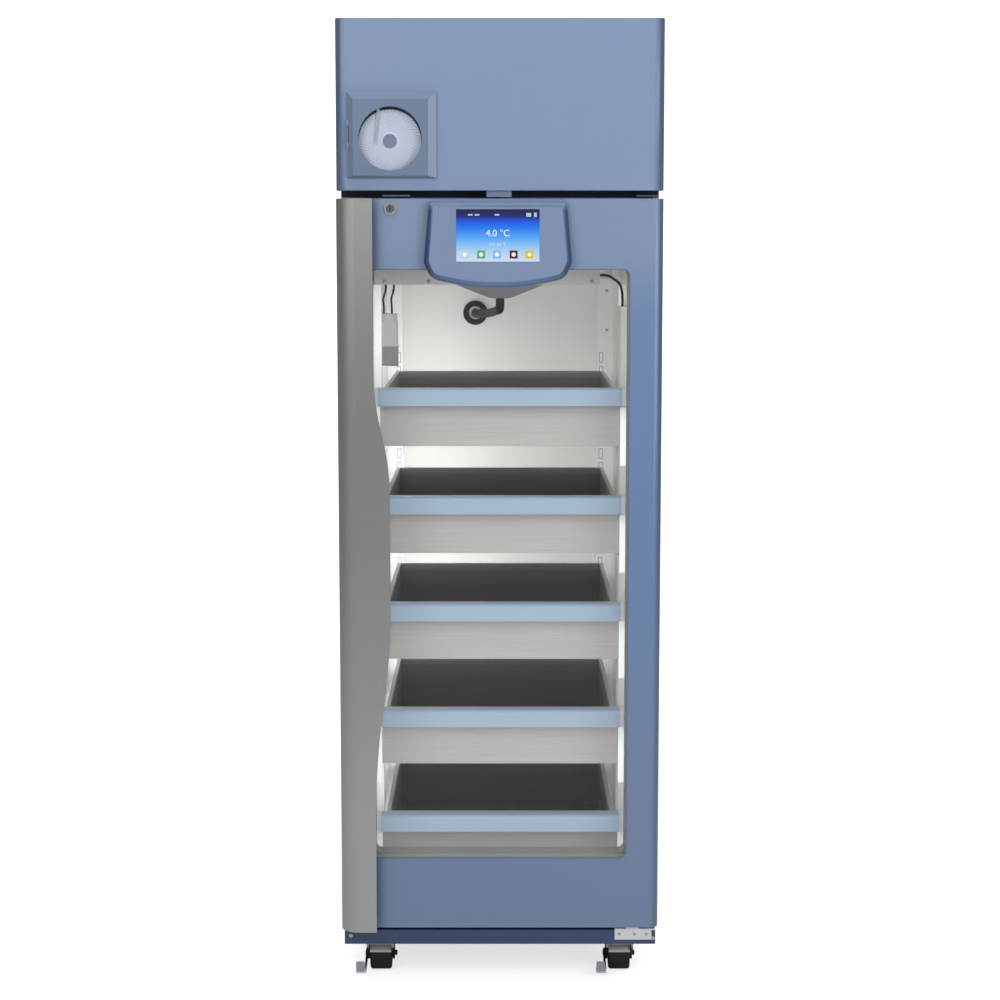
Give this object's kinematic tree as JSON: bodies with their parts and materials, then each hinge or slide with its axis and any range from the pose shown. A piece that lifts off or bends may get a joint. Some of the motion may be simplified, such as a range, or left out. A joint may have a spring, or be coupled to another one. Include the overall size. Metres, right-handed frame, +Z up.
{
  "type": "blood bank refrigerator",
  "caption": "Upright blood bank refrigerator with a glass door, steel drawers, chart recorder, temperature display and braked casters.",
  "frame": {"origin": "on the floor under the middle of the machine's outline", "axes": "+X to the right seen from the front, -Y out of the door, +Z up"},
  "size_m": [0.61, 0.792, 1.844],
  "materials": {
    "coat": "satin",
    "coat_dark": "satin",
    "foam": "matte",
    "liner_steel": "satin",
    "inner_frame": "matte",
    "clear_glass": "gloss",
    "seal_rubber": "matte",
    "wing_paint": "satin",
    "monitor_plastic": "gloss",
    "display": "gloss",
    "bright_steel": "gloss",
    "zinc_plate": "satin",
    "brushed": "brushed",
    "grip_plastic": "satin",
    "bezel": "satin",
    "case_dark": "matte",
    "chart_paper": "matte",
    "pen_metal": "satin",
    "fan_plastic": "matte",
    "aluminium_fins": "satin",
    "copper": "satin",
    "funnel_plastic": "satin",
    "black_rubber": "matte",
    "lamp_plastic": "satin",
    "white_plastic": "satin",
    "black_steel": "satin",
    "tyre_black": "matte",
    "sensor_grey": "matte"
  },
  "bodies": {
    "cabinet": {"cabinet_shell": "coat", "foam_insulation": "foam", "chamber_liner": "liner_steel", "base_frame": "coat_dark", "machine_hood": "coat", "header_cover": "coat", "rear_grille": "coat", "hinge_brackets": "zinc_plate", "door_sensor": "sensor_grey", "recorder_case": "case_dark", "drawer_rails": "zinc_plate", "cooler_housing": "liner_steel", "finned_coils": "aluminium_fins", "drip_funnel": "funnel_plastic", "drain_hose": "black_rubber", "chamber_lamp": "lamp_plastic", "chamber_leads": "black_rubber", "probe_bottle": "white_plastic", "probe_bracket": "zinc_plate", "compressor": "black_steel", "refrigerant_pipes": "copper", "control_box": "case_dark", "caster_plates": "zinc_plate"},
    "door": {"door_shell": "coat", "door_foam": "foam", "door_inner_frame": "inner_frame", "door_glass": "clear_glass", "door_seals": "seal_rubber", "door_handle": "wing_paint", "monitor_housing": "monitor_plastic", "monitor_screen": "display", "lock_barrel": "bright_steel"},
    "lock_plug": {"lock_plug": "bright_steel"},
    "recorder_door": {"recorder_door": "bezel", "recorder_window": "clear_glass"},
    "chart_disc": {"chart_disc": "chart_paper"},
    "pen_arm": {"pen_arm": "pen_metal"},
    "evaporator_fan": {"evaporator_fan": "fan_plastic"},
    "condenser_fan": {"condenser_fan": "fan_plastic"},
    "power_switch": {"power_switch": "fan_plastic"},
    "drawer_1": {"drawer_1_tray": "brushed", "drawer_1_handle": "grip_plastic"},
    "drawer_2": {"drawer_2_tray": "brushed", "drawer_2_handle": "grip_plastic"},
    "drawer_3": {"drawer_3_tray": "brushed", "drawer_3_handle": "grip_plastic"},
    "drawer_4": {"drawer_4_tray": "brushed", "drawer_4_handle": "grip_plastic"},
    "drawer_5": {"drawer_5_tray": "brushed", "drawer_5_handle": "grip_plastic"},
    "front_left_fork": {"front_left_fork": "black_steel"},
    "front_left_wheel": {"front_left_wheel": "tyre_black"},
    "front_left_brake_lever": {"front_left_brake_lever": "zinc_plate"},
    "front_right_fork": {"front_right_fork": "black_steel"},
    "front_right_wheel": {"front_right_wheel": "tyre_black"},
    "front_right_brake_lever": {"front_right_brake_lever": "zinc_plate"},
    "rear_left_fork": {"rear_left_fork": "black_steel"},
    "rear_left_wheel": {"rear_left_wheel": "tyre_black"},
    "rear_right_fork": {"rear_right_fork": "black_steel"},
    "rear_right_wheel": {"rear_right_wheel": "tyre_black"}
  },
  "joints": [
    {"name": "door_hinge", "type": "hinge", "parent": "cabinet", "child": "door", "pos_m": [0.288, -0.323, 0.8], "axis": [0, 0, 1], "range_deg": [0, 130]},
    {"name": "lock_turn", "type": "hinge", "parent": "door", "child": "lock_plug", "pos_m": [-0.204, -0.355, 1.495], "axis": [0, -1, 0], "range_deg": [0, 90]},
    {"name": "recorder_door_hinge", "type": "hinge", "parent": "cabinet", "child": "recorder_door", "pos_m": [-0.2825, -0.369, 1.631], "axis": [0, 0, -1], "range_deg": [0, 110]},
    {"name": "chart_spin", "type": "hinge", "parent": "cabinet", "child": "chart_disc", "pos_m": [-0.204, -0.361, 1.6195], "axis": [0, 1, 0], "continuous": true},
    {"name": "pen_swing", "type": "hinge", "parent": "cabinet", "child": "pen_arm", "pos_m": [-0.225, -0.362, 1.6765], "axis": [0, 1, 0], "range_deg": [-8, 12]},
    {"name": "evaporator_fan_spin", "type": "hinge", "parent": "cabinet", "child": "evaporator_fan", "pos_m": [-0.025, -0.137, 1.361], "axis": [0, 0, 1], "continuous": true},
    {"name": "condenser_fan_spin", "type": "hinge", "parent": "cabinet", "child": "condenser_fan", "pos_m": [0.116, 0.26, 1.618], "axis": [0, 1, 0], "continuous": true},
    {"name": "power_switch_rock", "type": "hinge", "parent": "cabinet", "child": "power_switch", "pos_m": [-0.147, 0.388, 1.588], "axis": [1, 0, 0], "range_deg": [0, 10]},
    {"name": "drawer_1_slide", "type": "slide", "parent": "cabinet", "child": "drawer_1", "axis": [0, -1, 0], "range_m": [0, 0.42]},
    {"name": "drawer_2_slide", "type": "slide", "parent": "cabinet", "child": "drawer_2", "axis": [0, -1, 0], "range_m": [0, 0.42]},
    {"name": "drawer_3_slide", "type": "slide", "parent": "cabinet", "child": "drawer_3", "axis": [0, -1, 0], "range_m": [0, 0.42]},
    {"name": "drawer_4_slide", "type": "slide", "parent": "cabinet", "child": "drawer_4", "axis": [0, -1, 0], "range_m": [0, 0.42]},
    {"name": "drawer_5_slide", "type": "slide", "parent": "cabinet", "child": "drawer_5", "axis": [0, -1, 0], "range_m": [0, 0.42]},
    {"name": "front_left_swivel", "type": "hinge", "parent": "cabinet", "child": "front_left_fork", "pos_m": [-0.235, -0.29, 0.075], "axis": [0, 0, 1], "continuous": true},
    {"name": "front_left_roll", "type": "hinge", "parent": "front_left_fork", "child": "front_left_wheel", "pos_m": [-0.235, -0.265, 0.0315], "axis": [1, 0, 0], "continuous": true},
    {"name": "front_left_brake_press", "type": "hinge", "parent": "front_left_fork", "child": "front_left_brake_lever", "pos_m": [-0.235, -0.265, 0.0315], "axis": [1, 0, 0], "range_deg": [0, 8]},
    {"name": "front_right_swivel", "type": "hinge", "parent": "cabinet", "child": "front_right_fork", "pos_m": [0.235, -0.29, 0.075], "axis": [0, 0, 1], "continuous": true},
    {"name": "front_right_roll", "type": "hinge", "parent": "front_right_fork", "child": "front_right_wheel", "pos_m": [0.235, -0.265, 0.0315], "axis": [1, 0, 0], "continuous": true},
    {"name": "front_right_brake_press", "type": "hinge", "parent": "front_right_fork", "child": "front_right_brake_lever", "pos_m": [0.235, -0.265, 0.0315], "axis": [1, 0, 0], "range_deg": [0, 8]},
    {"name": "rear_left_swivel", "type": "hinge", "parent": "cabinet", "child": "rear_left_fork", "pos_m": [-0.235, 0.331, 0.075], "axis": [0, 0, 1], "continuous": true},
    {"name": "rear_left_roll", "type": "hinge", "parent": "rear_left_fork", "child": "rear_left_wheel", "pos_m": [-0.235, 0.356, 0.0315], "axis": [1, 0, 0], "continuous": true},
    {"name": "rear_right_swivel", "type": "hinge", "parent": "cabinet", "child": "rear_right_fork", "pos_m": [0.235, 0.331, 0.075], "axis": [0, 0, 1], "continuous": true},
    {"name": "rear_right_roll", "type": "hinge", "parent": "rear_right_fork", "child": "rear_right_wheel", "pos_m": [0.235, 0.356, 0.0315], "axis": [1, 0, 0], "continuous": true}
  ],
  "couplings": [
    {"joint": "drawer_1_slide", "follows": "door_hinge", "m_per_rad": 0.06},
    {"joint": "drawer_2_slide", "follows": "door_hinge", "m_per_rad": 0.06},
    {"joint": "drawer_3_slide", "follows": "door_hinge", "m_per_rad": 0.06},
    {"joint": "drawer_4_slide", "follows": "door_hinge", "m_per_rad": 0.06},
    {"joint": "drawer_5_slide", "follows": "door_hinge", "m_per_rad": 0.06}
  ]
}
